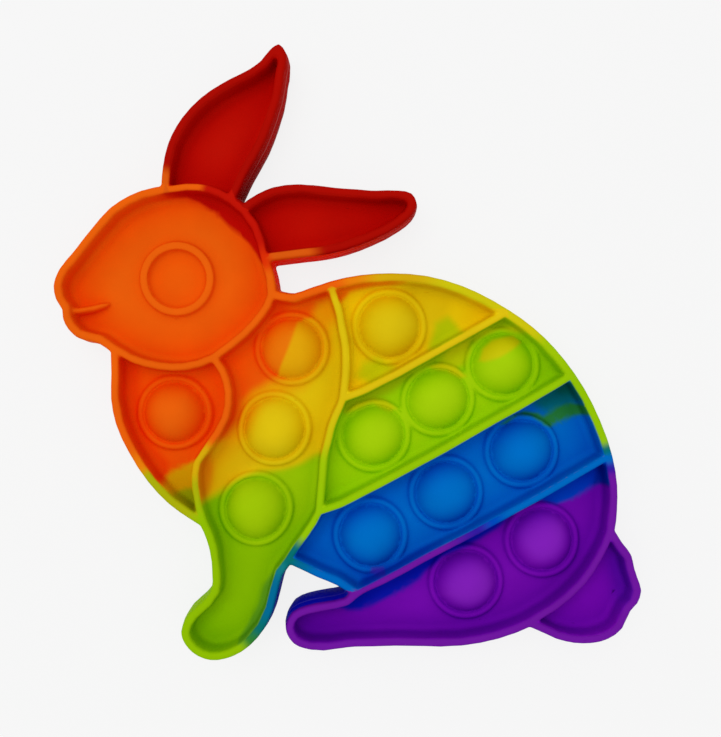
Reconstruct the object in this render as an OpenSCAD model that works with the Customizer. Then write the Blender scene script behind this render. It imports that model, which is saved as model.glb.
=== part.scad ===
// Rabbit-shaped bubble pop toy, moulded in one piece of soft silicone.
// A thin web carries the push-through bubbles and their seat rings. Walls with
// rounded edges stand on both faces of the web: a rim round the outline, and
// ribs that part the head, ears, chest, leg, back bands, haunch and tail.
// The toy lies face up on the XY plane, with the nose towards -X and the ears
// towards +Y, and its outline is centred on the Z axis.

/* [Overall] */
// Width of the toy from the nose to the tail
toy_w = 148; // [140:0.5:160]
// Thickness of the toy from the rim's lower edge to its upper edge
toy_t = 13; // [11:0.5:16]

/* [Walls] */
// Width of the rim round the outline, at its upper edge
rim_w = 2.1; // [1.9:0.1:3]
// Width of the ribs, at their upper edge
rib_w = 1.9; // [1.6:0.1:2.6]
// Radius on the edges of the rim and the ribs
edge_r = 0.65; // [0.3:0.05:0.75]
// Draft of a wall's outer face, from its edge out to the parting line
rim_draft = 0.5; // [0.2:0.1:1]
// Draft of a wall's inner faces, from their edge down to the web
rib_draft = 0.3; // [0.1:0.05:0.6]
// Half height of the flat band along the parting line
parting_h = 0.2; // [0.1:0.05:0.4]
// Radius of the fillet where a wall meets the web
root_r = 1.3; // [0.6:0.1:1.8]

/* [Web] */
// Thickness of the web between the walls
web_t = 1.5; // [1.2:0.1:2.4]

/* [Bubbles] */
// Outer diameter of a bubble's seat ring
ring_d = 19.4; // [17:0.1:20.5]
// Thickness of the bead that forms a seat ring
ring_w = 1.9; // [1.2:0.1:2.4]
// Height of a seat ring above the web
ring_h = 1.15; // [0.6:0.05:1.4]
// Diameter of a bubble where it leaves the web
bubble_d = 14.8; // [13:0.1:15.6]
// Height of a bubble above the web
bubble_h = 5; // [4:0.1:6]
// Thickness of a bubble's wall
bubble_wall = 0.9; // [0.7:0.05:1.3]

/* [Face] */
// Outer diameter of the ring round the eye
eye_d = 19.4; // [17:0.1:21]
// Thickness of the bead that forms the eye's ring
eye_w = 2; // [1.4:0.1:2.4]
// Height of the eye's ring above the web
eye_h = 1.4; // [0.8:0.1:1.8]
// Depth of the recess inside the eye's ring, at its edge
eye_step = 0.35; // [0.1:0.05:0.5]
// Depth of the shallow dish in the recess, below its edge
eye_dish = 0.3; // [0.1:0.05:0.4]
// Width of the mouth's ridge
mouth_w = 2.1; // [1.2:0.1:2.8]
// Height of the mouth's ridge above the web, where it leaves the rim
mouth_h = 5; // [1.5:0.1:5.5]
// Height of the mouth's ridge above the web, at its free end
mouth_end_h = 1.2; // [0.6:0.1:1.5]

/* [Hidden] */
$fn = 72;

half_t = toy_t/2;
web_h = web_t/2;
// How far a cutter reaches past the face that it cuts
over = 0.1;

// Greatest gap between a curve and the chords that stand for it, round the cells
// and round the outline
cell_gap = 0.08;
rim_gap = 0.035;

// Wall centre lines, drawn on a flat grid in millimetres: each is a smooth
// curve through a few key points, and the shared points are the junctions.
ear_left = [-45.2, 40.4];
ear_fork = [-29.1, 38.1];
ear_root = [-25.9, 35.5];
ear_low = [-20.4, 23.2];
nape = [-18.8, 14.4];
throat = [-33.2, -1.5];
chin = [-57.9, 0.4];
knee = [-35.6, -42.8];
withers = [-3.9, 16.4];
elbow = [-1.1, -11.3];
flank = [-6.8, -40.1];
groin = [-14.4, -51.9];
spine = [39.6, 9.8];
loin = [55.9, -5.7];
rump = [65.4, -26.3];
hock = [2.5, -60.1];
tail_top = [65.9, -45.1];
tail_low = [45.7, -67.4];

head = [
    ear_left, [-51.4, 39], [-58.4, 35], [-63, 29.8], [-67.9, 23.9], [-71.1, 20],
    [-72.3, 16.4], [-71.6, 13.4], [-70, 10.8], [-69.8, 8.5], [-66.9, 4.4], [-61.6, 2.9],
    chin, [-53.4, -1.9], [-47, -3.6], [-40.6, -3.8],
    throat, [-28.6, 1.9], [-23, 7.1],
    nape, ear_low, [-23, 31.5],
    ear_root, ear_fork, [-34.4, 40.6], [-39.9, 41.1]
];
upper_ear = [
    ear_left, [-44.8, 45.9], [-43.6, 51.4], [-40.4, 57.5], [-35.9, 62.4], [-28.5, 67.2],
    [-23.9, 69.5], [-20.6, 71.9], [-18.3, 74.7], [-17.1, 75.6], [-16.3, 74], [-16.7, 70.1],
    [-17.7, 63.9], [-19.2, 58.9], [-21.6, 52.7], [-25.6, 45.4], ear_fork
];
lower_ear = [
    ear_root, [-21.9, 38.3], [-18.3, 39.9], [-12.3, 40.7], [-3.5, 39.9], [7, 39.1],
    [13.3, 39.1], [15.6, 38.6], [16.4, 37.1], [15.5, 34.9], [13.1, 32.8], [6.5, 29.2],
    [-0.1, 26.7], [-6.6, 25.2], [-14.1, 24.1], ear_low
];
back = [
    nape, [-16.4, 13.9], [-13.4, 13.5], [-9.1, 14.8],
    withers, [3.4, 17.9], [10.9, 18.4], [19.6, 17.8], [28.1, 15.5],
    spine, [48.6, 2.8], loin, [62.3, -17.4], rump, [66.6, -33.4], [66.6, -39.1],
    tail_top, [63.1, -51.4], [58.4, -57.8], [51.7, -63.6],
    tail_low, [38.2, -70.6], [29.2, -72.4], [13.4, -72.5], [1.1, -72.8], [-8.7, -73.5],
    [-12.4, -72.2], [-14.2, -69.1], [-13, -66.3], [-10.1, -64.9], [-5.4, -63.9], [-0.3, -62.6],
    hock
];
front = [
    withers, [-2, 10.4], [-0.4, 2.1], [-0.4, -5.5],
    elbow, [-3.7, -18.8], [-5.6, -26.6], [-6.3, -34.6],
    flank, [-9.8, -45.6],
    groin, [-17.1, -55], [-18.4, -59.1], [-19.6, -63.9], [-21.8, -68.5], [-25, -72.3],
    [-29, -75.1], [-33.7, -76.1], [-37.8, -74.4], [-40.2, -70.5], [-38.4, -66.4],
    [-34.8, -63.1], [-32.7, -60.1], [-32.4, -55.6], [-33.1, -49.5], knee
];
chest = [
    knee, [-38.6, -40.9], [-43.5, -37.4], [-48.4, -32.3], [-53.3, -24.9], [-56.5, -18],
    [-57.7, -12.1], [-57.7, -5.9], chin
];
tail = [
    tail_top, [68.1, -48.6], [70.2, -51.4], [70.9, -54.4], [71.7, -56.9], [72.6, -59.8],
    [71.9, -62.2], [70.2, -64.1], [69.2, -66.1], [68, -68.6], [65.1, -70.8], [59.2, -71.9],
    [53.3, -70.8], [49.1, -68.9], tail_low
];
belly = [hock, [-1.6, -57.5], [-6.6, -55.5], [-10.9, -53.5], groin];
neck_rib = [
    throat, [-31, -4.9], [-29.6, -10.1], [-30.5, -16.1], [-34.6, -23.2], [-37.4, -28],
    [-37.8, -33.4], [-36.9, -38.9], knee
];
upper_rib = [elbow, [3.9, -9.4], [13.4, -4.8], [25.9, 2.1], spine];
middle_rib = [flank, [-1.6, -38.3], [8.4, -33.2], loin];
lower_rib = [hock, [13.4, -54.8], rump];

// Places of the eye and of the mouth's ridge on the same grid
eye_at = [-43.2, 18.3];
mouth = [[-70.4, 10.2], [-67.6, 10.2], [-64.4, 10.8], [-62, 11.6], [-60.6, 12.1]];
// Distance between the bubbles of a row, and the rows' directions
leg_pitch = 21;
upper_pitch = 18.8;
lower_pitch = 22.1;
leg_dir = -102.5;
band_dir = -151;
// Each row of bubbles: its start, pitch, direction, number of bubbles and colour
bubble_rows = [
    [[-44, -15.5], 0, 0, 1, "orangered"],
    [[10.8, 6.6], 0, 0, 1, "gold"],
    [[-14, 0.9], leg_pitch, leg_dir, 3, "goldenrod"],
    [[39.7, -3.1], upper_pitch, band_dir, 3, "yellowgreen"],
    [[44.7, -25.3], lower_pitch, band_dir, 3, "royalblue"],
    [[49.8, -48], lower_pitch, band_dir, 2, "rebeccapurple"]
];
function row_places(row) = placed([for (i = [0 : row[3] - 1])
    row[0] + i*row[1]*[cos(row[2]), sin(row[2])]]);

// Direction in which a curve passes key point b on its way from a to c
function pass_dir(a, b, c) =
    let (u = b - a, v = c - b)
    (u*norm(v)/norm(u) + v*norm(u)/norm(v))/(norm(u) + norm(v));

function tangent(c, k, closed) =
    let (n = len(c))
    closed ? pass_dir(c[(k + n - 1) % n], c[k % n], c[(k + 1) % n])
    : k == 0 ? 2*(c[1] - c[0])/norm(c[1] - c[0]) - tangent(c, 1, false)
    : k == n - 1 ? 2*(c[n - 1] - c[n - 2])/norm(c[n - 1] - c[n - 2]) - tangent(c, n - 2, false)
    : pass_dir(c[k - 1], c[k], c[k + 1]);

function cross2(u, v) = u.x*v.y - u.y*v.x;
function bend(u, v) = abs(atan2(cross2(u, v), u*v));

// Point at share t of the curve from b to e, which has slopes tb and te there
function curve_point(b, e, tb, te, t) =
    b*(2*t^3 - 3*t^2 + 1) + tb*(t^3 - 2*t^2 + t) + e*(3*t^2 - 2*t^3) + te*(t^3 - t^2);

// Points from key k of a curve up to, and without, key k + 1
function stretch(c, k, closed, gap) =
    let (n = len(c), b = c[k % n], e = c[(k + 1) % n], l = norm(e - b))
    let (tb = tangent(c, k, closed), te = tangent(c, k + 1, closed))
    let (turn = (bend(tb, e - b) + bend(e - b, te))*PI/180)
    let (steps = max(1, round(sqrt(l*turn/(8*gap)))))
    [for (i = [0 : steps - 1]) curve_point(b, e, l*tb, l*te, i/steps)];

// Points from key i of a curve to key j, either way along it, without key j
function run(c, i, j, closed = false, gap = cell_gap) =
    i < j ? [for (k = [i : j - 1]) each stretch(c, k, closed, gap)]
    : let (f = run(c, j, i, closed, gap))
      [c[i % len(c)], for (m = [len(f) - 1 : -1 : 1]) f[m]];
function rim_run(c, i, j, closed = false) = run(c, i, j, closed, rim_gap);

// The cells between the walls, and the outline round them all, each
// counter-clockwise along the centre lines
cells = [
    run(head, 0, 26, true),
    concat(run(head, 26, 23, true), run(upper_ear, 16, 0)),
    concat(run(head, 22, 20, true), run(lower_ear, 15, 0)),
    concat(run(chest, 8, 0), run(neck_rib, 8, 0), run(head, 16, 12, true)),
    concat(run(neck_rib, 0, 8), run(front, 25, 0), run(back, 4, 0), run(head, 19, 16, true)),
    concat(run(front, 0, 4), run(upper_rib, 0, 4), run(back, 9, 4)),
    concat(run(front, 4, 8), run(middle_rib, 0, 3), run(back, 11, 9), run(upper_rib, 4, 0)),
    concat(run(front, 8, 10), run(belly, 4, 0), run(lower_rib, 0, 2), run(back, 13, 11),
        run(middle_rib, 3, 0)),
    concat(run(back, 32, 13), run(lower_rib, 2, 0)),
    concat(run(tail, 14, 0), run(back, 16, 20))
];
outline = concat(rim_run(head, 0, 12, true), rim_run(chest, 8, 0),
    rim_run(front, 25, 10), rim_run(belly, 4, 0), rim_run(back, 32, 20),
    rim_run(tail, 14, 0), rim_run(back, 16, 0), rim_run(head, 19, 20, true),
    rim_run(lower_ear, 15, 0), rim_run(head, 22, 23, true), rim_run(upper_ear, 16, 0));

// Distance from p to the segment from a to b, and to a closed loop
function seg_dist(p, a, b) =
    let (v = b - a, t = max(0, min(1, (p - a)*v/(v*v))))
    norm(p - a - t*v);
function loop_dist(p, loop) =
    let (n = len(loop))
    min([for (i = [0 : n - 1]) seg_dist(p, loop[i], loop[(i + 1) % n])]);

// Mitre vector at each point of a loop: a step of 1 moves both its edges 1 inwards
function left_of(u) = [-u.y, u.x]/norm(u);
function mitres(loop) =
    let (n = len(loop))
    [for (i = [0 : n - 1])
        let (u = left_of(loop[i] - loop[(i + n - 1) % n]))
        let (v = left_of(loop[(i + 1) % n] - loop[i]))
        (u + v)/(1 + u*v)];

// A loop without the points that a move by d would push past its other side
function trimmed(loop, d) =
    let (m = mitres(loop), nearest = 0.96*abs(d))
    [for (i = [0 : len(loop) - 1]) if (loop_dist(loop[i] + d*m[i], loop) > nearest) loop[i]];

// Loop moved inwards by d, or by less at the points whose limit is less
function inset(loop, d, limits = undef) =
    let (m = mitres(loop))
    [for (i = [0 : len(loop) - 1]) loop[i] + (limits == undef ? d : min(d, limits[i]))*m[i]];

// Half the turn's tangent at point i, which shortens the edges beside it
function half_turn(loop, i) =
    let (n = len(loop), u = loop[i] - loop[(i + n - 1) % n], v = loop[(i + 1) % n] - loop[i])
    tan(atan2(cross2(u, v), u*v)/2);

// How far each point of a loop can move inwards before an edge beside it is used up
function room(loop) =
    let (n = len(loop), tans = [for (i = [0 : n - 1]) half_turn(loop, i)])
    let (edges = [for (i = [0 : n - 1])
        norm(loop[(i + 1) % n] - loop[i])/max(0.01, tans[i] + tans[(i + 1) % n])])
    [for (i = [0 : n - 1]) min(edges[i], edges[(i + n - 1) % n])];

// How far each point can move inwards, up to d, and stay clear of the loop's far
// side: a point a quarter further in would still lie nearest to its own edges
function reach(loop, d, least = 0.05) =
    let (m = mitres(loop), near = room(loop))
    [for (i = [0 : len(loop) - 1])
        max([least, for (f = [0.1 : 0.05 : 1])
            let (g = min(f*d, 0.8*near[i]))
            if (loop_dist(loop[i] + 1.25*g*m[i], loop) > 1.15*g) g])];

// Triangles that fill a counter-clockwise loop, as triples of its point numbers
function is_ear(loop, a, b, c, ids) =
    cross2(loop[b] - loop[a], loop[c] - loop[b]) > 0
    && len([for (k = ids)
        if (k != a && k != b && k != c
            && cross2(loop[b] - loop[a], loop[k] - loop[a]) >= 0
            && cross2(loop[c] - loop[b], loop[k] - loop[b]) >= 0
            && cross2(loop[a] - loop[c], loop[k] - loop[c]) >= 0) 1]) == 0;
function first_ear(loop, ids, i = 0) =
    let (n = len(ids))
    i >= n || is_ear(loop, ids[(i + n - 1) % n], ids[i], ids[(i + 1) % n], ids)
        ? i % n : first_ear(loop, ids, i + 1);
function fill(loop, ids, done = []) =
    let (n = len(ids))
    n == 3 ? concat(done, [ids])
    : let (i = first_ear(loop, ids))
      fill(loop, [for (k = [0 : n - 1]) if (k != i) ids[k]],
          concat(done, [[ids[(i + n - 1) % n], ids[i], ids[(i + 1) % n]]]));

// Solid through rings of points that run counter-clockwise, from the lowest up
module loft(rings) {
    n = len(rings[0]);
    last = (len(rings) - 1)*n;
    lid = fill(rings[0], [for (i = [0 : n - 1]) i]);
    sides = [for (r = [0 : len(rings) - 2]) for (i = [0 : n - 1])
        let (a = r*n + i, b = r*n + (i + 1) % n)
        each [[a + n, b, a], [a + n, b + n, b]]];
    polyhedron([for (ring = rings) each ring],
        concat(lid, sides, [for (t = lid) [last + t[2], last + t[1], last + t[0]]]));
}

// Closed tube through rings of points, with the last ring joined to the first
module tube(rings) {
    n = len(rings[0]);
    m = len(rings);
    polyhedron([for (ring = rings) each ring],
        [for (r = [0 : m - 1]) for (i = [0 : n - 1])
            let (a = r*n + i, b = r*n + (i + 1) % n)
            let (c = (r + 1) % m*n + i, e = (r + 1) % m*n + (i + 1) % n)
            each [[a, b, c], [b, e, c]]]);
}

// The rim's upper edge stands rim_out outside the outline's centre line, and
// its outer face runs out to rim_reach at the parting line
rim_out = rim_w - rib_w/2;
rim_reach = rim_out + rim_draft;

// The drawn grid is scaled to the toy's width and moved to the outline's middle
span = [for (k = [0, 1]) [min([for (p = outline) p[k]]), max([for (p = outline) p[k]])]];
size_scale = (toy_w - 2*rim_reach)/(span.x[1] - span.x[0]);
middle = [for (s = span) (s[0] + s[1])/2];
function placed(points) = [for (p = points) (p - middle)*size_scale];
function lift(loop, z) = [for (p = loop) [p.x, p.y, z]];

rim_line = trimmed(placed(outline), -rim_reach - over);

// Roundings are drawn in steps of this angle
round_step = 45;
rounding = [0 : round_step : 90];
// Fillet at a cell's foot: steps inwards from the wall's face, and heights
root_steps = [for (a = rounding)
    [rib_draft + root_r*(1 - sin(a)), web_h + root_r*(1 - cos(a))]];
// Rounded edge of a wall: steps back over the wall, and heights up to just past its top
edge_steps = [for (a = rounding)
    a < 90 ? [edge_r*(1 - cos(a)), half_t - edge_r*(1 - sin(a))]
           : [edge_r + over/tan(round_step/2), half_t + over]];

// Edge of a cell along the faces of the walls round it
function walled(cell) =
    let (loop = trimmed(placed(cell), rib_w/2))
    inset(loop, rib_w/2, 0.95*room(loop));

// Hollow of one cell above the web
module pocket(cell) {
    wall = walled(cell);
    limits = reach(wall, rib_draft + root_r);
    loft(concat(
        [for (s = root_steps) lift(inset(wall, s[0], limits), s[1])],
        [for (s = edge_steps) lift(inset(wall, -s[0]), s[1])]));
}

// What lies outside the rim's drafted and rounded face, above the parting line
module rim_trim() {
    outside = rim_reach + over;
    steps = concat(
        [[outside, parting_h]],
        [for (s = edge_steps) [rim_out - s[0], s[1]]],
        [[outside, half_t + over]]);
    tube([for (s = steps) lift(inset(rim_line, -s[0]), s[1])]);
}

// Rim, ribs and web
module walls() {
    difference() {
        linear_extrude(height = toy_t, center = true)
            polygon(inset(rim_line, -rim_reach));
        for (side = [0, 1])
            mirror([0, 0, side]) {
                rim_trim();
                for (cell = cells)
                    pocket(cell);
            }
    }
}

// Ring of round section, half sunk into both faces of the web
module bead(d, w, h) {
    for (side = [0, 1])
        mirror([0, 0, side])
            rotate_extrude()
                translate([(d - w)/2, web_h + h - w/2])
                    circle(d = w);
}

bubble_r = (bubble_d^2/4 + bubble_h^2)/(2*bubble_h);
bubble_z = web_h + bubble_h - bubble_r;

// Part of a bubble's ball above the height floor_z
module ball_cap(r, floor_z) {
    intersection() {
        translate([0, 0, bubble_z])
            sphere(r);
        translate([0, 0, floor_z])
            cylinder(h = toy_t, d = ring_d);
    }
}

module bubble() {
    bead(ring_d, ring_w, ring_h);
    ball_cap(bubble_r, 0);
}

module bubble_hollow() {
    ball_cap(bubble_r - bubble_wall, -web_h - over);
}

// Recess inside the eye's ring, with a shallow dish that a large ball cuts in it
module eye_hollow() {
    dish_d = eye_d - 2*eye_w;
    r = (dish_d^2/4 + eye_dish^2)/(2*eye_dish);
    intersection() {
        translate([0, 0, web_h - eye_step - eye_dish + r])
            sphere(r);
        cylinder(h = web_h + over, d = dish_d);
    }
}

// Half width and height of the mouth's ridge, as shares, round its arched section
arch = [[1, 0], [1, 0.6], [0.6, 0.9], [0, 1], [-0.6, 0.9], [-1, 0.6], [-1, 0]];

module mouth_ridge() {
    path = placed(mouth);
    n = len(arch);
    last = len(path) - 1;
    rings = [for (k = [0 : last])
        let (t = k/last, side = left_of(path[min(k + 1, last)] - path[max(k - 1, 0)]))
        let (h = mouth_h + t*(mouth_end_h - mouth_h), w = mouth_w/2*(1 - 0.6*t^4))
        [for (a = arch)
            let (p = path[k] + a[0]*w*side)
            [p.x, p.y, a[1]*(web_h + h)]]];
    sides = [for (k = [0 : last - 1]) for (i = [0 : n - 1])
        let (a = k*n + i, b = k*n + (i + 1) % n)
        each [[a, a + n, b], [b, a + n, b + n]]];
    polyhedron([for (ring = rings) each ring],
        concat([[for (i = [0 : n - 1]) i]], sides, [[for (i = [n - 1 : -1 : 0]) last*n + i]]));
}

module rabbit_popper() {
    translate([0, 0, half_t])
        difference() {
            union() {
                color("darkorange") {
                    walls();
                    mouth_ridge();
                    translate(placed([eye_at])[0])
                        bead(eye_d, eye_w, eye_h);
                }
                for (row = bubble_rows, place = row_places(row))
                    color(row[4])
                        translate(place)
                            bubble();
            }
            translate(placed([eye_at])[0])
                eye_hollow();
            for (row = bubble_rows, place = row_places(row))
                translate(place)
                    bubble_hollow();
        }
}

rabbit_popper();
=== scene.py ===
import math

import bmesh
import bpy
import numpy as np
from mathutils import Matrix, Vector
from mathutils.bvhtree import BVHTree


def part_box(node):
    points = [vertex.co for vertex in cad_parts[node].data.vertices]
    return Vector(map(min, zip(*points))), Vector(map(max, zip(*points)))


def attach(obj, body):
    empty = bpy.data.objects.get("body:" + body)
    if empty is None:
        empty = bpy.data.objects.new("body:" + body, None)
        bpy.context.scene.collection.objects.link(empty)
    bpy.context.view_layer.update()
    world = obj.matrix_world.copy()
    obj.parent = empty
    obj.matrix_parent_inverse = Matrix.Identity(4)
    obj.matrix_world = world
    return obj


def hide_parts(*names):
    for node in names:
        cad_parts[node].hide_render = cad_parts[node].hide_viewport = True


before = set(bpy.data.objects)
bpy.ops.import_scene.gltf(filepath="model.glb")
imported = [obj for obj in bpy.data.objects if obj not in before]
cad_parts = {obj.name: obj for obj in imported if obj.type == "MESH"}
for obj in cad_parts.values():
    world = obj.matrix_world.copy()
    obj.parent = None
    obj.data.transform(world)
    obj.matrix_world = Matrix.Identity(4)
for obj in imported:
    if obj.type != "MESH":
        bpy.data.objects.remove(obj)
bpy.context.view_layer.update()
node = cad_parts["rabbit_popper"]

MM = 0.001
low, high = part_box("rabbit_popper")
TOP = high.z
MID = (low.z + high.z)/2
WEB_T = 1.5*MM
WEB_TOP = MID + WEB_T/2
# How far under the top a wall's flat top may lie
LEVEL = 0.02*MM

# The photograph looks straight down. Its frame is 721 x 737, and the toy was
# laid a little above and to the left of the middle of it.
FRAME_W, FRAME_H = 721, 737
AXIS_PX = (356.0, 356.0)
AXIS_AT = (2.25*MM, -0.88*MM)
PX_PER_M = 4016.0
EYE_HEIGHT = TOP + 197*MM
FOCAL_PX = PX_PER_M*(EYE_HEIGHT - TOP)


def make_camera():
    data = bpy.data.cameras.new("camera")
    data.sensor_fit = "VERTICAL"
    data.sensor_height = 36
    data.lens = FOCAL_PX/FRAME_H*data.sensor_height
    data.shift_x = (FRAME_W/2 - AXIS_PX[0])/FRAME_H
    data.shift_y = (AXIS_PX[1] - FRAME_H/2)/FRAME_H
    data.clip_start = 0.01
    data.clip_end = 20
    camera = bpy.data.objects.new("camera", data)
    camera.location = (*AXIS_AT, EYE_HEIGHT)
    bpy.context.scene.collection.objects.link(camera)
    bpy.context.scene.camera = camera


def at(px, py, z):
    """The point at height z that the camera sees at a place in its frame."""
    scale = (EYE_HEIGHT - z)/FOCAL_PX
    return (AXIS_AT[0] + (px - AXIS_PX[0])*scale, AXIS_AT[1] - (py - AXIS_PX[1])*scale)


def linear(r, g, b):
    """A colour written 0-255 as linear values."""
    return np.array([c/12.92 if c <= 0.04045 else ((c + 0.055)/1.055)**2.4
                     for c in (r/255, g/255, b/255)])


CRIMSON = linear(170, 12, 4)
RED = linear(192, 20, 7)
SCARLET = linear(222, 50, 6)
FLAME = linear(244, 62, 12)
EMBER = linear(220, 90, 16)
ORANGE = linear(233, 96, 12)
TANGERINE = linear(234, 128, 12)
AMBER = linear(228, 167, 12)
GOLD = linear(214, 170, 12)
HONEY = linear(232, 186, 14)
YELLOW = linear(221, 192, 16)
STRAW = linear(236, 210, 20)
LEMON = linear(206, 196, 14)
OLIVE = linear(172, 176, 12)
LIME = linear(160, 198, 8)
GRASS = linear(150, 198, 7)
BAND = linear(165, 207, 11)
LEAF = linear(144, 190, 4)
MOSS = linear(48, 128, 50)
PINE = linear(12, 106, 92)
TEAL = linear(8, 112, 112)
LAGOON = linear(20, 125, 132)
SEA = linear(4, 106, 150)
AZURE = linear(0, 104, 192)
BLUE = linear(0, 109, 197)
COBALT = linear(0, 72, 188)
NAVY = linear(16, 30, 170)
MARINE = linear(10, 24, 196)
NIGHT = linear(4, 12, 108)
INDIGO = linear(50, 26, 160)
VIOLET = linear(120, 14, 174)
PLUM = linear(112, 24, 160)
LILAC = linear(128, 31, 183)
ORCHID = linear(130, 16, 182)
# The pale colour of the painted highlight on the parting line
PARTING_HIGHLIGHT = linear(236, 206, 200)


# Where the cells between the walls lie, by one place in each in the camera's frame
SEEDS = {
    "upper_ear": (215, 150), "lower_ear": (330, 220), "head": (130, 300),
    "chest": (172, 412), "shoulder": (272, 428), "back": (388, 326),
    "green_band": (437, 398), "blue_band": (446, 491), "haunch": (466, 580),
    "tail": (603, 605),
}
FLOORS = {
    "upper_ear": RED, "lower_ear": RED, "head": ORANGE, "chest": ORANGE,
    "shoulder": ORANGE, "back": YELLOW, "green_band": BAND, "blue_band": BLUE,
    "haunch": VIOLET, "tail": ORCHID,
}


def disc(px, py, r):
    """A round patch in the frame, as twelve corners."""
    return [(px + r*math.cos(i*math.pi/6), py + r*math.sin(i*math.pi/6)) for i in range(12)]
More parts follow.
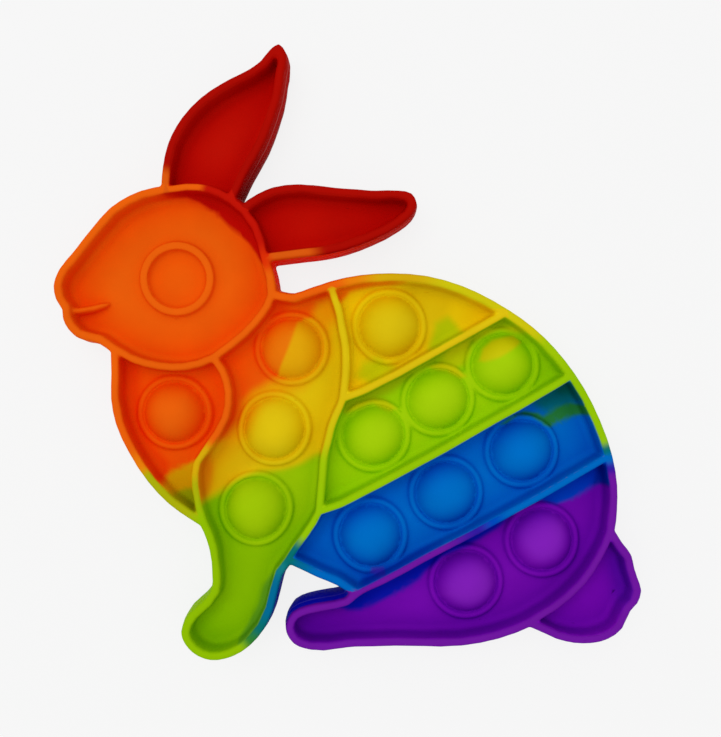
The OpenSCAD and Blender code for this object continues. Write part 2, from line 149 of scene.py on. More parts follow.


# Colours that run over part of a cell, one over the other, some of them painted shade
# or light: the cell, the colour, how far it blends (mm), how much of it covers, and
# the patch's corners in the frame
PATCHES = [
    ("head", SCARLET, 2.0, 0.55,
     [(140, 160), (140, 199), (155, 199), (185, 200), (198, 204), (214, 214), (300, 262),
      (300, 160)]),
    ("head", RED, 1.0, 1.0,
     [(158, 160), (158, 195), (170, 197), (188, 197), (200, 202), (213, 213), (226, 223),
      (238, 234), (249, 245), (257, 254), (264, 266), (300, 266), (300, 160)]),
    ("chest", SCARLET, 2.5, 0.4,
     [(118, 340), (140, 340), (140, 400), (150, 440), (168, 462), (166, 486), (118, 450)]),
    ("chest", GOLD, 1.6, 1.0,
     [(166, 484), (166, 476), (171, 470), (182, 465), (196, 459), (230, 448), (230, 560),
      (166, 560)]),
    ("chest", OLIVE, 2.0, 1.0,
     [(120, 470), (150, 476), (165, 486), (178, 491), (196, 489), (230, 480), (230, 560),
      (120, 560)]),
    # Painted shade: the floor reddens in the shadow by the rim and the neck
    ("shoulder", SCARLET, 3.0, 0.15,
     [(262, 286), (304, 290), (296, 299), (272, 306), (258, 330), (238, 350),
      (222, 366), (205, 366)]),
    ("shoulder", TANGERINE, 1.6, 0.65,
     [(262, 345), (266, 334), (276, 325), (288, 321), (304, 321), (300, 350), (290, 374),
      (276, 372), (266, 362)]),
    ("shoulder", HONEY, 3.0, 0.9,
     [(306, 322), (316, 326), (322, 340), (321, 356), (312, 368), (300, 372), (294, 368),
      (301, 350)]),
    # Painted light: a lighter orange that lifts the shade beside the neck
    ("shoulder", TANGERINE, 3.0, 0.5,
     [(284, 314), (292, 304), (304, 299), (316, 298), (314, 316), (298, 322)]),
    ("shoulder", AMBER, 1.2, 1.0,
     [(305, 318), (330, 318), (332, 376), (279, 376), (290, 345), (298, 322)]),
    ("shoulder", AMBER, 3.4, 1.0,
     [(338, 285), (328, 297), (317, 302), (311, 316), (305, 332), (300, 354), (284, 378),
      (268, 382), (253, 390), (243, 402), (237, 420), (227, 436), (211, 447), (196, 456),
      (190, 620), (400, 620), (400, 260)]),
    ("shoulder", YELLOW, 5.0, 1.0,
     [(348, 312), (330, 326), (329, 350), (318, 372), (302, 387), (285, 392), (264, 402),
      (252, 425), (238, 446), (220, 462), (204, 475), (190, 620), (400, 620), (400, 260)]),
    ("shoulder", GOLD, 3.0, 0.6,
     [(240, 440), (262, 455), (240, 474), (226, 490), (190, 500), (190, 455)]),
    ("shoulder", EMBER, 3.0, 0.5,
     [(194, 452), (209, 446), (213, 468), (209, 494), (200, 506), (190, 480)]),
    ("shoulder", LEAF, 3.0, 1.0,
     [(345, 438), (322, 454), (303, 463), (286, 469), (262, 473), (240, 480), (222, 489),
      (208, 498), (190, 505), (150, 700), (345, 700)]),
    ("shoulder", LIME, 3.0, 0.9,
     [(326, 455), (300, 466), (262, 474), (236, 486), (224, 510), (236, 536), (256, 546),
      (280, 540), (300, 520), (318, 500)]),
    ("shoulder", MOSS, 1.6, 0.55,
     [(294, 546), (281, 559), (270, 573), (264, 584), (256, 606), (249, 624), (240, 636),
      (260, 660), (300, 620), (310, 560)]),
    ("back", STRAW, 5.0, 0.7,
     [(325, 270), (420, 268), (408, 288), (370, 300), (352, 330), (346, 350), (340, 370)]),
    ("back", TANGERINE, 1.6, 0.85,
     [(325, 270), (420, 268), (404, 283), (372, 287), (350, 292), (338, 304)]),
    ("back", STRAW, 3.0, 0.9,
     [(334, 346), (350, 346), (366, 360), (390, 362), (380, 384), (345, 402)]),
    ("back", STRAW, 4.0, 0.6, [(452, 302), (470, 294), (512, 314), (440, 350), (446, 326)]),
    ("back", LIME, 2.6, 0.65,
     [(428, 350), (436, 324), (448, 317), (456, 324), (462, 334), (440, 350)]),
    ("back", LIME, 3.0, 0.5, [(356, 376), (362, 362), (378, 358), (392, 368), (372, 384)]),
    # A yellow wash from the rib, darkened as painted shade along the rib's foot
    ("green_band", OLIVE, 3.0, 0.6,
     [(336, 410), (342, 398), (400, 368), (505, 312), (540, 335), (524, 330), (505, 322),
      (470, 345), (420, 372), (390, 392), (350, 412)]),
    ("green_band", LEMON, 1.6, 0.75,
     [(345, 412), (356, 402), (372, 397), (386, 400), (396, 408), (390, 410), (372, 403),
      (354, 410)]),
    ("green_band", LEMON, 1.6, 0.9,
     [(426, 366), (440, 362), (455, 366), (466, 376), (460, 378), (446, 370), (432, 369)]),
    ("green_band", LEMON, 2.4, 0.6,
     [(440, 362), (450, 350), (468, 340), (470, 352), (464, 366), (456, 368)]),
    ("green_band", LEMON, 1.4, 0.9,
     [(476, 362), (480, 348), (490, 339), (512, 336), (520, 342), (508, 349), (496, 356),
      (482, 362)]),
    ("green_band", LEMON, 2.0, 0.7,
     [(474, 340), (484, 330), (502, 325), (522, 328), (534, 336), (520, 333), (500, 330)]),
    ("blue_band", TEAL, 3.6, 0.9,
     [(528, 402), (575, 370), (620, 400), (600, 425), (588, 412), (575, 404), (545, 412)]),
    ("blue_band", PINE, 2.0, 0.75,
     [(556, 392), (575, 372), (620, 400), (600, 425), (584, 408), (572, 396)]),
    ("blue_band", MOSS, 1.3, 0.95,
     [(543, 424), (545, 416), (556, 407), (570, 402), (590, 404), (588, 413), (572, 416),
      (556, 421), (550, 426)]),
    ("blue_band", MOSS, 1.2, 0.9,
     [(500, 424), (510, 414), (524, 410), (538, 413), (547, 420), (542, 422), (530, 416),
      (518, 416), (506, 424)]),
    ("blue_band", PLUM, 1.0, 0.6, [(370, 572), (372, 567), (384, 565), (385, 570), (376, 573)]),
    ("blue_band", NAVY, 2.5, 0.6,
     [(352, 600), (362, 576), (375, 568), (392, 562), (420, 548), (440, 540), (430, 560)]),
    ("haunch", NAVY, 1.6, 1.0,
     [(330, 600), (338, 606), (348, 610), (360, 610), (374, 605), (390, 597), (406, 588),
      (420, 579), (430, 568), (441, 555), (462, 546), (480, 539), (496, 528), (512, 512),
      (512, 490), (357, 580)]),
    ("haunch", COBALT, 1.4, 1.0,
     [(520, 506), (536, 500), (557, 503), (570, 498), (586, 490), (600, 484), (620, 478),
      (620, 440), (500, 500)]),
    ("haunch", NIGHT, 1.6, 0.5, [(592, 486), (596, 466), (604, 455), (620, 450), (620, 482)]),
    # Painted light: the domes are a lighter violet than the floor round them
    ("haunch", LILAC, 4.5, 1.0, disc(466, 579, 24)),
    ("haunch", LILAC, 4.5, 1.0, disc(540, 533, 24)),
    # Painted shade: darker and bluer towards the tail's right wall
    ("tail", INDIGO, 5.0, 0.35,
     [(606, 535), (625, 545), (650, 590), (640, 615), (618, 628), (616, 600), (610, 575)]),
]
# Colours along the walls: runs of places along a wall, each with its colour
WALLS = [
    [(166, 187, EMBER), (164, 176, EMBER), (167, 163, CRIMSON), (178, 128, CRIMSON),
     (205, 92, CRIMSON), (240, 68, CRIMSON), (277, 46, CRIMSON), (284, 75, CRIMSON),
     (270, 130, CRIMSON), (240, 200, CRIMSON)],
    [(243, 205, CRIMSON), (262, 193, CRIMSON), (300, 187, CRIMSON), (360, 190, CRIMSON),
     (412, 196, CRIMSON), (405, 215, CRIMSON), (350, 240, CRIMSON), (326, 248, CRIMSON),
     (305, 252, EMBER), (275, 258, EMBER), (266, 262, SCARLET)],
    [(57, 280, ORANGE), (64, 255, ORANGE), (95, 225, ORANGE), (130, 193, ORANGE),
     (165, 186, ORANGE), (198, 186, ORANGE), (207, 189, RED), (240, 207, RED),
     (258, 240, RED), (266, 262, SCARLET), (270, 276, ORANGE), (275, 292, ORANGE),
     (262, 320, ORANGE), (236, 348, ORANGE), (205, 361, ORANGE), (160, 362, ORANGE),
     (115, 345, ORANGE), (80, 332, ORANGE), (64, 312, ORANGE), (57, 280, ORANGE)],
    [(275, 292, ORANGE), (300, 290, ORANGE), (335, 284, ORANGE), (352, 279, TANGERINE),
     (385, 276, GOLD), (410, 278, GOLD), (450, 283, LEMON), (500, 302, LEMON),
     (532, 328, LEMON), (548, 348, LIME), (580, 385, GRASS), (603, 440, GRASS),
     (606, 450, TEAL), (609, 459, AZURE), (611, 468, INDIGO), (612, 478, PLUM),
     (613, 535, PLUM), (600, 565, PLUM), (570, 600, PLUM), (530, 628, PLUM),
     (470, 640, PLUM), (390, 642, PLUM), (305, 645, PLUM), (290, 625, PLUM),
     (294, 609, PLUM), (320, 602, PLUM), (357, 592, PLUM)],
    [(613, 535, PLUM), (630, 560, PLUM), (637, 595, PLUM), (615, 632, PLUM),
     (575, 640, PLUM), (530, 628, PLUM)],
    [(357, 592, PLUM), (353, 590, AZURE), (340, 584, AZURE), (320, 575, AZURE),
     (300, 566, SEA), (288, 562, TEAL), (282, 566, LAGOON), (272, 586, SEA),
     (264, 608, SEA), (257, 626, TEAL), (249, 638, MOSS), (238, 647, LEAF), (212, 654, LEAF),
     (188, 648, LEAF), (188, 620, LEAF), (208, 590, LEAF), (212, 560, LEAF),
     (203, 525, LEAF)],
    [(203, 525, LEAF), (185, 510, OLIVE), (165, 495, OLIVE), (148, 478, OLIVE),
     (141, 466, TANGERINE), (130, 445, ORANGE), (116, 400, ORANGE), (115, 345, ORANGE)],
    [(215, 358, ORANGE), (228, 385, ORANGE), (224, 418, ORANGE), (213, 438, ORANGE),
     (203, 452, GOLD), (196, 470, GOLD), (196, 488, OLIVE), (203, 525, LEAF)],
    [(330, 285, ORANGE), (332, 290, GOLD), (336, 300, YELLOW), (346, 350, YELLOW),
     (343, 400, YELLOW), (331, 440, LEMON), (326, 465, LIME), (320, 512, GRASS),
     (306, 536, GRASS), (296, 550, TEAL), (288, 562, TEAL)],
    [(343, 397, YELLOW), (400, 368, YELLOW), (450, 343, YELLOW), (505, 312, YELLOW)],
    [(320, 512, GRASS), (380, 483, GRASS), (480, 430, GRASS), (570, 380, GRASS)],
    [(357, 592, PLUM), (400, 568, PLUM), (440, 548, PLUM), (478, 529, INDIGO),
     (492, 521, COBALT), (510, 511, AZURE), (540, 492, AZURE), (607, 457, AZURE)],
    [(85, 310, ORANGE), (105, 304, ORANGE)],
]
# Colours of the outer wall's side, where it isn't the edge's own
SIDES = [
    [(286, 628, PLUM), (286, 618, MARINE), (292, 604, MARINE), (320, 596, MARINE),
     (340, 590, MARINE), (357, 588, MARINE)],
    [(272, 268, FLAME), (305, 258, FLAME), (330, 251, FLAME), (360, 240, SCARLET),
     (396, 222, RED)],
    [(288, 562, SEA), (279, 582, NAVY), (268, 608, NAVY), (256, 630, NAVY), (247, 642, MOSS)],
]


def evaluated(obj):
    """A new mesh with the object's modifiers applied."""
    graph = bpy.context.evaluated_depsgraph_get()
    return bpy.data.meshes.new_from_object(obj.evaluated_get(graph))


def points_of(mesh):
    co = np.empty(len(mesh.vertices)*3, np.float32)
    mesh.vertices.foreach_get("co", co)
    return co.reshape(-1, 3).astype(float)


def wall_tops():
    """The flat tops of the walls, as a search tree of their faces."""
    mesh = node.data
    co = points_of(mesh)
    faces = [tuple(p.vertices) for p in mesh.polygons]
    tops = [f for f in faces if min(co[i][2] for i in f) > TOP - LEVEL]
    return BVHTree.FromPolygons([tuple(c) for c in co], tops)


def wall_distance(tree, xy):
    return np.array([tree.find_nearest((x, y, TOP))[3] for x, y in xy])


GRID = 0.4*MM
CLEAR_OF_WALL = 0.15*MM


class Cells:
    """Which cell a place belongs to, flooded from the seeds and stopped by the walls."""

    def __init__(self, tree):
        self.x0, self.y0 = low.x - 2*GRID, low.y - 2*GRID
        nx = int((high.x - self.x0)/GRID) + 3
        ny = int((high.y - self.y0)/GRID) + 3
        xs, ys = self.x0 + GRID*np.arange(nx), self.y0 + GRID*np.arange(ny)
        flat = np.stack(np.meshgrid(xs, ys, indexing="ij"), -1).reshape(-1, 2)
        open_ = (wall_distance(tree, flat) > CLEAR_OF_WALL).reshape(nx, ny)
        self.label = np.full((nx, ny), -1)
        for k, seed in enumerate(SEEDS.values()):
            self.flood(open_, self.index(np.array([at(*seed, WEB_TOP)]))[0], k)

    def index(self, xy):
        i = np.rint((xy - (self.x0, self.y0))/GRID).astype(int)
        return np.clip(i, 0, np.array(self.label.shape) - 1)

    def flood(self, open_, start, k):
        stack = [tuple(start)]
        while stack:
            i, j = stack.pop()
            inside = 0 <= i < open_.shape[0] and 0 <= j < open_.shape[1]
            if not inside or self.label[i, j] >= 0 or not open_[i, j]:
                continue
            self.label[i, j] = k
            stack += [(i + 1, j), (i - 1, j), (i, j + 1), (i, j - 1)]

    def of(self, xy):
        i = self.index(xy)
        return self.label[i[:, 0], i[:, 1]]


def segment_search(xy, a, b):
    """Distance from each place to the segment from a to b, and the share along it."""
    v = b - a
    t = np.clip(((xy - a) @ v)/(v @ v), 0, 1)
    return np.linalg.norm(xy - a - t[:, None]*v, axis=1), t


def top_loops():
    """The outlines of the walls' flat tops, as closed loops of places."""
    mesh = node.data
    co = points_of(mesh)
    # The edges that no second top face shares, in the order in which they are met
    ends = {}
    for face in mesh.polygons:
        ids = list(face.vertices)
        if min(co[i][2] for i in ids) > TOP - LEVEL:
            for a, b in zip(ids, ids[1:] + ids[:1]):
                if ends.pop((b, a), None) is None:
                    ends[(a, b)] = True
    follow = {a: b for a, b in ends}
    loops = []
    while follow:
        loop, here = [], next(iter(follow))
        while here in follow:
            loop.append(here)
            here = follow.pop(here)
        loops.append(co[loop][:, :2])
    return loops


# From this turn on, a chord's end is a corner; and how far from a wall's top the
# curves reach, and over how much they fade
CORNER = math.cos(math.radians(28))
CURVE_REACH = 3*MM
CURVE_FADE = 1.5*MM


def bow(loop):
    """For each edge of a loop, the slopes of a smooth curve through its ends. A corner
    keeps the edges' own directions."""
    edge = np.roll(loop, -1, axis=0) - loop
    length = np.linalg.norm(edge, axis=1)[:, None]
    unit = edge/length
    before, l_before = np.roll(unit, 1, axis=0), np.roll(length, 1, axis=0)
    through = (unit*l_before + before*length)/(length + l_before)
    sharp = ((unit*before).sum(1) < CORNER)[:, None]
    leave = np.where(sharp, unit, through)
    arrive = np.where(sharp, before, through)
    return edge, leave*length, np.roll(arrive, -1, axis=0)*length


def unkinked(xy):
    """How far each place moves so that the chords along the walls become curves."""
    loops = top_loops()
    start = np.concatenate(loops)
    edge, leave, arrive = (np.concatenate(part) for part in zip(*map(bow, loops)))
    n = len(start)
    corners = [(*p, 0) for p in start] + [(*p, 0) for p in start + edge]
    corners += [(*p, MM) for p in start]
    tree = BVHTree.FromPolygons(corners, [(i, n + i, 2*n + i) for i in range(n)])
    found = [tree.find_nearest((x, y, 0)) for x, y in xy]
    k = np.array([f[2] for f in found])
    away = np.array([f[3] for f in found])
    t = np.clip(((xy - start[k])*edge[k]).sum(1)/(edge[k]**2).sum(1), 0, 1)[:, None]
    move = (edge[k]*(3*t**2 - 2*t**3 - t) + leave[k]*(t**3 - 2*t**2 + t)
            + arrive[k]*(t**3 - t**2))
    return move*smooth((CURVE_REACH - away)/CURVE_FADE)[:, None]


# Small shifts (mm) of the ribs that the photograph asks for: place in the frame, shift
NUDGES = [
    ((357, 390), (0.35, -0.65)), ((386, 375), (0.25, -0.5)), ((425, 355), (0.2, -0.35)),
    ((464, 335), (0.15, -0.3)), ((491, 320), (0.15, -0.3)), ((536, 399), (0.15, -0.35)),
    ((559, 386), (0.3, -0.55)), ((368, 586), (0.3, -0.55)), ((389, 574), (0.15, -0.3)),
    ((218, 428), (0.4, -0.25)), ((270, 260), (-0.2, 0.5)), ((290, 255), (-0.1, 0.35)),
    ((260, 622), (0.3, -0.15)), ((251, 635), (0.35, -0.3)), ((278, 581), (0.3, -0.1)),
    ((285, 292), (0.0, -0.35)), ((301, 290), (0.0, -0.25)), ((578, 591), (0.25, -0.2)),
    ((560, 607), (0.3, -0.35)), ((540, 621), (0.2, -0.3)), ((301, 543), (-0.3, 0.2)),
    ((60, 268), (0.3, -0.1)), ((98, 338), (0.1, 0.3)),
]
NUDGE_REACH = 5*MM
# The weight of staying put, against 1 for a shift at its own place
UNMOVED = 0.25


def nudged(xy):
    """How far each place moves: the mean of the shifts near it, nothing far from all."""
    total = np.zeros((len(xy), 2))
    weights = np.full(len(xy), UNMOVED)
    for place, shift in NUDGES:
        w = np.exp(-((xy - at(*place, TOP))**2).sum(1)/NUDGE_REACH**2)
        total += w[:, None]*np.array(shift)*MM
        weights += w
    return total/weights[:, None]


# The domes' middles (mm), and the foot radius and height that they show
DOMES = [
    (-44.09, -15.23), (10.64, 6.84), (-14.13, 1.15), (-18.67, -19.33), (-23.21, -39.80),
    (39.50, -2.85), (23.08, -11.95), (6.66, -21.05), (44.49, -25.02), (25.19, -35.71),
    (5.88, -46.41), (49.58, -47.68), (30.28, -58.38),
]
DOME_FOOT = 8.1*MM
DOME_HEIGHT = 5*MM
# How far past the foot the dome's face is carried on, under the ring's bead
DOME_SKIRT = 0.6*MM


def dome_height(xy):
    """Height of the domes' faces over each place, far below where there is none."""
    ball = (DOME_FOOT**2 + DOME_HEIGHT**2)/(2*DOME_HEIGHT)
    near = np.min([((xy - np.array(c)*MM)**2).sum(1) for c in DOMES], axis=0)
    face = WEB_TOP + DOME_HEIGHT - ball + np.sqrt(np.maximum(ball**2 - near, 0))
    return np.where(near < (DOME_FOOT + DOME_SKIRT)**2, face, -1)


# The eye: its middle (mm), and the radius (mm) and height over the web (mm) of its
# profile from the middle outwards: a dish, a flat ring, and soft fillets on both sides
EYE_AT = (-43.36, 18.79)
EYE_PROFILE = [
    (0, -0.65), (4.8, -0.65), (5.4, -0.6), (6.0, -0.45), (6.6, -0.15), (7.0, 0.2), (7.3, 0.75),
    (7.45, 1.3), (7.6, 1.6), (7.9, 1.72), (8.5, 1.75), (9.0, 1.72), (9.3, 1.6), (9.45, 1.3),
    (9.6, 0.8), (9.85, 0.45), (10.3, 0.2), (10.9, 0.06), (11.5, 0),
]


def eye_height(xy):
    """Height of the eye's face over each place, and where it holds."""
    r = np.linalg.norm(xy - np.array(EYE_AT)*MM, axis=1)/MM
    radii, heights = zip(*EYE_PROFILE)
    return WEB_TOP + np.interp(r, radii, heights)*MM, r < radii[-1]


# What counts as the upper side: how far a face turns up, and how low it may lie
FACES_UP = 0.05
UPPER_SIDE = WEB_TOP - 1.2*MM


def reshape(mesh):
    """Rounds off what the solid leaves in chords, fills the domes out to their rings and
    gives the eye its soft fillets."""
    co = points_of(mesh)
    up = np.empty(len(co)*3, np.float32)
    mesh.vertices.foreach_get("normal", up)
    upper = (up.reshape(-1, 3)[:, 2] > FACES_UP) & (co[:, 2] > UPPER_SIDE)
    raised = np.maximum(co[:, 2], dome_height(co[:, :2]))
    eye, in_eye = eye_height(co[:, :2])
    raised = np.where(in_eye, eye, raised)
    co[:, 2] = np.where(upper, raised, co[:, 2])
    co[:, :2] += unkinked(co[:, :2]) + nudged(co[:, :2])
    mesh.vertices.foreach_set("co", co.astype(np.float32).ravel())
    mesh.update()


def patch_depth(xy, corners):
    """How far each place lies inside a patch, less than 0 outside it."""
    corners = np.array(corners)
    near = np.full(len(xy), 1e9)
    inside = np.zeros(len(xy), bool)
    for a, b in zip(corners, np.roll(corners, -1, axis=0)):
        near = np.minimum(near, segment_search(xy, a, b)[0])
        crosses = (a[1] > xy[:, 1]) != (b[1] > xy[:, 1])
        rise = b[1] - a[1] if b[1] != a[1] else 1e-12
        inside ^= crosses & (xy[:, 0] < a[0] + (xy[:, 1] - a[1])*(b[0] - a[0])/rise)
    return np.where(inside, near, -near)


def smooth(x):
    """A soft step from 0 to 1."""
    x = np.clip(x, 0, 1)
    return x*x*(3 - 2*x)


# How far the patches' edges wander, over what length, and which way the wave runs
WANDER = 0.4*MM
WAVELENGTH = 17*MM
WAVE_TURN = 0.4


def ripple(xy):
    """A slow wave from -1 to 1 over the face, for edges that wander."""
    k = 2*math.pi/WAVELENGTH
    c, s = math.cos(WAVE_TURN), math.sin(WAVE_TURN)
    u, v = xy[:, 0]*c + xy[:, 1]*s, xy[:, 1]*c - xy[:, 0]*s
    return (np.sin(k*u + 2*np.sin(0.6*k*v)) + np.sin(1.7*k*v + 1.3*np.sin(0.8*k*u)))/2


def floor_colours(xy, cell):
    """The colour of each place's cell, with the patches laid over it."""
    names = list(SEEDS)
    out = np.tile(ORANGE, (len(xy), 1))
    for k, name in enumerate(names):
        out[cell == k] = FLOORS[name]
    wander = WANDER*ripple(xy)
    for name, colour, blur, cover, corners in PATCHES:
        here = np.flatnonzero(cell == names.index(name))
        depth = patch_depth(xy[here], [at(*c, WEB_TOP) for c in corners]) + wander[here]
        share = cover*smooth(depth/(blur*MM) + 0.5)[:, None]
        out[here] = out[here]*(1 - share) + colour*share
    return out


def line_colours(xy, lines):
    """The colour of the nearest line's nearest place, and the distance to it."""
    best = np.full(len(xy), 1e9)
    out = np.zeros((len(xy), 3))
    for line in lines:
        for (ax, ay, ca), (bx, by, cb) in zip(line, line[1:]):
            d, t = segment_search(xy, np.array(at(ax, ay, TOP)), np.array(at(bx, by, TOP)))
            near = d < best
            best[near] = d[near]
            t = smooth(t[near])[:, None]
            out[near] = ca*(1 - t) + cb*t
    return out, best


def set_attribute(mesh, name, values):
    if values.ndim == 1:
        kind, field = "FLOAT", "value"
    else:
        kind, field = "FLOAT_COLOR", "color"
        if values.shape[1] == 3:
            values = np.c_[values, np.ones(len(values))]
    attribute = mesh.attributes.new(name, kind, "POINT")
    attribute.data.foreach_set(field, values.astype(np.float32).ravel())


# The side's own colours start below the edge, blend in over a depth, and hold near it
SIDE_BELOW = 0.7*MM
SIDE_BLEND = 0.8*MM
SIDE_REACH = 4*MM
# Distances from the walls' tops (mm): where the wall's side starts, where the wall's
# colour ends and over how much it blends into the floor's
SIDE_STARTS = 0.3
WALL_ENDS = 0.25
WALL_BLEND = 0.4


class Paint:
    """The colours by place: the walls' tops have their own, and all that is lower in a
    cell has the colours of its floor."""

    def __init__(self):
        self.tree = wall_tops()
        self.cells = Cells(self.tree)

    def at(self, co):
        """Distance from the walls' tops (mm), share of the toy's outer side, and the
        colours of wall and floor, at each place."""
        xy = co[:, :2]
        flat = xy - nudged(xy)
        cell = self.cells.of(flat)
        gap = wall_distance(self.tree, flat)/MM
        wall = line_colours(xy, WALLS)[0]
        side, near = line_colours(xy, SIDES)
        outer = cell < 0
        lower = smooth((TOP - SIDE_BELOW - co[:, 2])/SIDE_BLEND)
        lower *= outer & (near < SIDE_REACH) & (gap > SIDE_STARTS)
        wall += (side - wall)*lower[:, None]
        outside = np.where(outer, smooth(gap/SIDE_STARTS), 0.0)
        return np.where(outer, 0, gap), outside, wall, floor_colours(xy, cell)

    def seen(self, co):
        """The colour that shows at each place."""
        gap, _, wall, floor = self.at(co)
        return wall + (floor - wall)*smooth((gap - WALL_ENDS)/WALL_BLEND)[:, None]

    def put_on(self, mesh):
        """Writes all of it on the mesh, for the material to read."""
        names = ("from_wall", "outside", "wall_tint", "floor_tint")
        for name, values in zip(names, self.at(points_of(mesh))):
            set_attribute(mesh, name, values)


VOXEL = 0.34*MM
SOFTENING = 3
# Triangles before the edges are split, and the most after it
THINNED = 125000
MOST_TRIANGLES = 198000
SPLIT_ROUNDS = 3
SPECK = 0.02*MM
FINE_EDGE = 0.45*MM
LONG_EDGE = 1.7*MM
COLOUR_STEP = 0.04


def triangulate(work):
    bmesh.ops.triangulate(work, faces=[f for f in work.faces if len(f.verts) > 3])


def split_edges(mesh, paint):
    """Splits the long edges of the upper side, and those along which its colour changes,
    as far as the limit on triangles lets it: each split adds two."""
    work = bmesh.new()
    work.from_mesh(mesh)
    bmesh.ops.dissolve_degenerate(work, edges=work.edges, dist=SPECK)
    triangulate(work)
    for _ in range(SPLIT_ROUNDS):
        work.verts.index_update()
        co = np.array([v.co for v in work.verts])
        ends = np.array([[v.index for v in e.verts] for e in work.edges])
        a, b = co[ends[:, 0]], co[ends[:, 1]]
        length = np.linalg.norm(b - a, axis=1)
        seen = paint.seen(co)
        step = np.abs(seen[ends[:, 0]] - seen[ends[:, 1]]).max(1)
        split = (length > LONG_EDGE) | (length > FINE_EDGE) & (step > COLOUR_STEP)
        split &= np.minimum(a[:, 2], b[:, 2]) > MID
        room = max(0, MOST_TRIANGLES - len(work.faces))//2
        chosen = [e for e, yes in zip(work.edges, split) if yes][:room]
        bmesh.ops.subdivide_edges(work, edges=chosen, cuts=1)
        triangulate(work)
    work.to_mesh(mesh)
    work.free()


def make_toy():
    """The moulding as one evenly meshed skin, with its small edges softened."""
    toy = bpy.data.objects.new("silicone_rabbit", node.data.copy())
    bpy.context.scene.collection.objects.link(toy)
    remesh = toy.modifiers.new("remesh", "REMESH")
    remesh.mode = "VOXEL"
    remesh.voxel_size = VOXEL
    soften = toy.modifiers.new("soften", "SMOOTH")
    soften.factor = 0.5
    soften.iterations = SOFTENING
    toy.data = evaluated(toy)
    toy.modifiers.clear()
    reshape(toy.data)
    thin = toy.modifiers.new("thin", "DECIMATE")
    thin.ratio = THINNED/(2*len(toy.data.polygons))
    toy.data = evaluated(toy)
    toy.modifiers.clear()
    paint = Paint()
    split_edges(toy.data, paint)
    toy.data.shade_smooth()
    paint.put_on(toy.data)
    return toy


def nodes_of(material):
    material.use_nodes = True
    material.node_tree.nodes.clear()
    return material.node_tree


def plug(tree, value, socket):
    """Links an output to a socket, or sets a number or a colour on it."""
    if isinstance(value, bpy.types.NodeSocket):
        tree.links.new(value, socket)
    elif isinstance(value, np.ndarray):
        socket.default_value = (*value, 1)
    else:
        socket.default_value = value


def maths(tree, operation, *values):
    step = tree.nodes.new("ShaderNodeMath")
    step.operation = operation
    for value, socket in zip(values, step.inputs):
        plug(tree, value, socket)
    return step.outputs[0]


def seen_plainly(tree):
    """1 for the rays that show the background itself, 0 for those that light the toy."""
    path = tree.nodes.new("ShaderNodeLightPath").outputs
    direct = maths(tree, "MAXIMUM", path["Is Camera Ray"], path["Is Glossy Ray"])
    return maths(tree, "MAXIMUM", direct, path["Is Transmission Ray"])


# A painted highlight along the parting line: how far over the middle it runs, its
# half width and its strength
PARTING_OVER = 2.6*MM
PARTING_HALF = 0.3*MM
PARTING_HIGHLIGHT_SHARE = 0.11
# Painted shade and light where the walls shade the toy: how far the shade reaches,
# the deepest shade, the power that deepens the colour and the factor that lifts it
SHADE_REACH = 10*MM
DEEPEST = 0.4
PAINTED_SHADE_POWER = 1.42
PAINTED_LIGHT_FACTOR = 1.1
# Clouds and grain per metre, and the range in which the clouds' values lie
CLOUD_SCALE = 90
CLOUDS = (0.3, 0.7)
GRAIN_SCALE = 2600
GRAIN_DEPTH = 0.02*MM


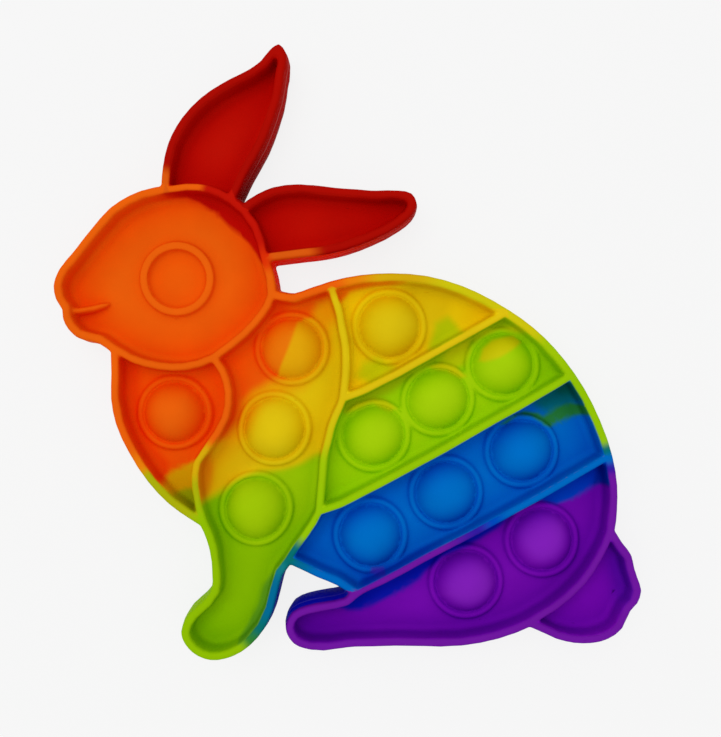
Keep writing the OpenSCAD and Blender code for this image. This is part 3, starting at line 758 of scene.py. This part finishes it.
def silicone():
    """Satin silicone: its colour from the mesh, with faint clouds, painted shade and
    light in its hollows, a painted highlight on the parting line, and a fine skin.
    """
    material = bpy.data.materials.new("silicone")
    tree = nodes_of(material)
    nodes, links = tree.nodes, tree.links
    out = nodes.new("ShaderNodeOutputMaterial")
    skin = nodes.new("ShaderNodeBsdfPrincipled")
    links.new(skin.outputs["BSDF"], out.inputs["Surface"])
    skin.inputs["Specular IOR Level"].default_value = 0.005
    skin.inputs["IOR"].default_value = 1.41
    place = nodes.new("ShaderNodeTexCoord").outputs["Object"]

    def noise(scale, detail):
        texture = nodes.new("ShaderNodeTexNoise")
        texture.inputs["Scale"].default_value = scale
        texture.inputs["Detail"].default_value = detail
        links.new(place, texture.inputs["Vector"])
        return texture.outputs["Fac"]

    def attribute(name, output):
        found = nodes.new("ShaderNodeAttribute")
        found.attribute_name = name
        return found.outputs[output]

    def ranged(value, low_in, high_in, low_out, high_out, shape="LINEAR"):
        step = nodes.new("ShaderNodeMapRange")
        step.interpolation_type = shape
        for name, number in (("From Min", low_in), ("From Max", high_in),
                             ("To Min", low_out), ("To Max", high_out)):
            step.inputs[name].default_value = number
        links.new(value, step.inputs["Value"])
        return step.outputs["Result"]

    def mixed(share, a, b, blend="MIX"):
        mix = nodes.new("ShaderNodeMix")
        mix.data_type = "RGBA"
        mix.blend_type = blend
        for value, number in ((share, 0), (a, 6), (b, 7)):
            plug(tree, value, mix.inputs[number])
        return mix.outputs[2]

    top = ranged(attribute("from_wall", "Fac"), WALL_ENDS, WALL_ENDS + WALL_BLEND, 1, 0,
                 "SMOOTHSTEP")
    colour = mixed(top, attribute("floor_tint", "Color"), attribute("wall_tint", "Color"))
    height = nodes.new("ShaderNodeSeparateXYZ")
    links.new(place, height.inputs["Vector"])
    # A pale painted highlight on the toy's outer side, along the parting line
    at_parting_highlight = maths(tree, "COMPARE", height.outputs["Z"], MID + PARTING_OVER, PARTING_HALF)
    line = maths(tree, "MULTIPLY", at_parting_highlight, attribute("outside", "Fac"))
    colour = mixed(maths(tree, "MULTIPLY", line, PARTING_HIGHLIGHT_SHARE), colour, PARTING_HIGHLIGHT)

    clouds = noise(CLOUD_SCALE, 3)
    # Painted shade: the colour is deepened by a power where the walls shade it, then lifted by
    # a factor as painted light
    open_sky = nodes.new("ShaderNodeAmbientOcclusion")
    open_sky.samples = 8
    open_sky.inputs["Distance"].default_value = SHADE_REACH
    painted_shade = nodes.new("ShaderNodeGamma")
    clouded = ranged(clouds, *CLOUDS, 0.96, 1.04)
    links.new(mixed(1, colour, clouded, "MULTIPLY"), painted_shade.inputs["Color"])
    links.new(ranged(open_sky.outputs["AO"], DEEPEST, 1, PAINTED_SHADE_POWER, 1), painted_shade.inputs["Gamma"])
    painted_light = ranged(open_sky.outputs["AO"], DEEPEST, 1, PAINTED_LIGHT_FACTOR, 1)
    links.new(mixed(1, painted_shade.outputs["Color"], painted_light, "MULTIPLY"),
              skin.inputs["Base Color"])
    links.new(ranged(clouds, *CLOUDS, 0.46, 0.56), skin.inputs["Roughness"])

    bump = nodes.new("ShaderNodeBump")
    bump.inputs["Strength"].default_value = 0.25
    bump.inputs["Distance"].default_value = GRAIN_DEPTH
    links.new(noise(GRAIN_SCALE, 2), bump.inputs["Height"])
    links.new(bump.outputs["Normal"], skin.inputs["Normal"])
    return material


BACKDROP = linear(247, 247, 247)
PLAIN_SHARE = 0.9


def paper():
    """Pale floor: the camera sees it at its own colour, with a lighter shadow."""
    material = bpy.data.materials.new("paper")
    tree = nodes_of(material)
    out = tree.nodes.new("ShaderNodeOutputMaterial")
    lit = tree.nodes.new("ShaderNodeBsdfDiffuse")
    plug(tree, BACKDROP, lit.inputs["Color"])
    plain = tree.nodes.new("ShaderNodeEmission")
    plug(tree, BACKDROP, plain.inputs["Color"])
    mix = tree.nodes.new("ShaderNodeMixShader")
    plug(tree, maths(tree, "MULTIPLY", seen_plainly(tree), PLAIN_SHARE), mix.inputs["Fac"])
    plug(tree, lit.outputs[0], mix.inputs[1])
    plug(tree, plain.outputs[0], mix.inputs[2])
    plug(tree, mix.outputs[0], out.inputs["Surface"])
    return material


FLOOR_HALF = 1.5


def make_floor():
    mesh = bpy.data.meshes.new("floor")
    s = FLOOR_HALF
    mesh.from_pydata([(-s, -s, 0), (s, -s, 0), (s, s, 0), (-s, s, 0)], [], [(0, 1, 2, 3)])
    floor = bpy.data.objects.new("floor", mesh)
    bpy.context.scene.collection.objects.link(floor)
    mesh.materials.append(paper())


AMBIENT = 0.66


def make_world():
    """Even white light all round, behind a pale background."""
    world = bpy.data.worlds.new("studio")
    bpy.context.scene.world = world
    tree = nodes_of(world)
    out = tree.nodes.new("ShaderNodeOutputWorld")
    ambient = tree.nodes.new("ShaderNodeBackground")
    ambient.inputs["Color"].default_value = (1, 1, 1, 1)
    ambient.inputs["Strength"].default_value = AMBIENT
    shown = tree.nodes.new("ShaderNodeBackground")
    plug(tree, BACKDROP, shown.inputs["Color"])
    shown.inputs["Strength"].default_value = 1
    mix = tree.nodes.new("ShaderNodeMixShader")
    plug(tree, seen_plainly(tree), mix.inputs["Fac"])
    plug(tree, ambient.outputs[0], mix.inputs[1])
    plug(tree, shown.outputs[0], mix.inputs[2])
    plug(tree, mix.outputs[0], out.inputs["Surface"])


# The softbox: where it stands (m), its size (m) and its power (W)
KEY_AT = (-0.2, 0.24, 1.0)
KEY_SIZE = 0.8
KEY_POWER = 4.25


def make_lamp():
    data = bpy.data.lights.new("key", "AREA")
    data.size = KEY_SIZE
    data.energy = KEY_POWER
    lamp = bpy.data.objects.new("key", data)
    lamp.location = KEY_AT
    lamp.rotation_euler = (-Vector(KEY_AT)).to_track_quat("-Z", "Y").to_euler()
    bpy.context.scene.collection.objects.link(lamp)


make_camera()
make_world()
make_lamp()
make_floor()
toy = make_toy()
toy.data.materials.clear()
toy.data.materials.append(silicone())
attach(toy, "root")
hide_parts("rabbit_popper")
bpy.context.scene.view_settings.view_transform = "Standard"
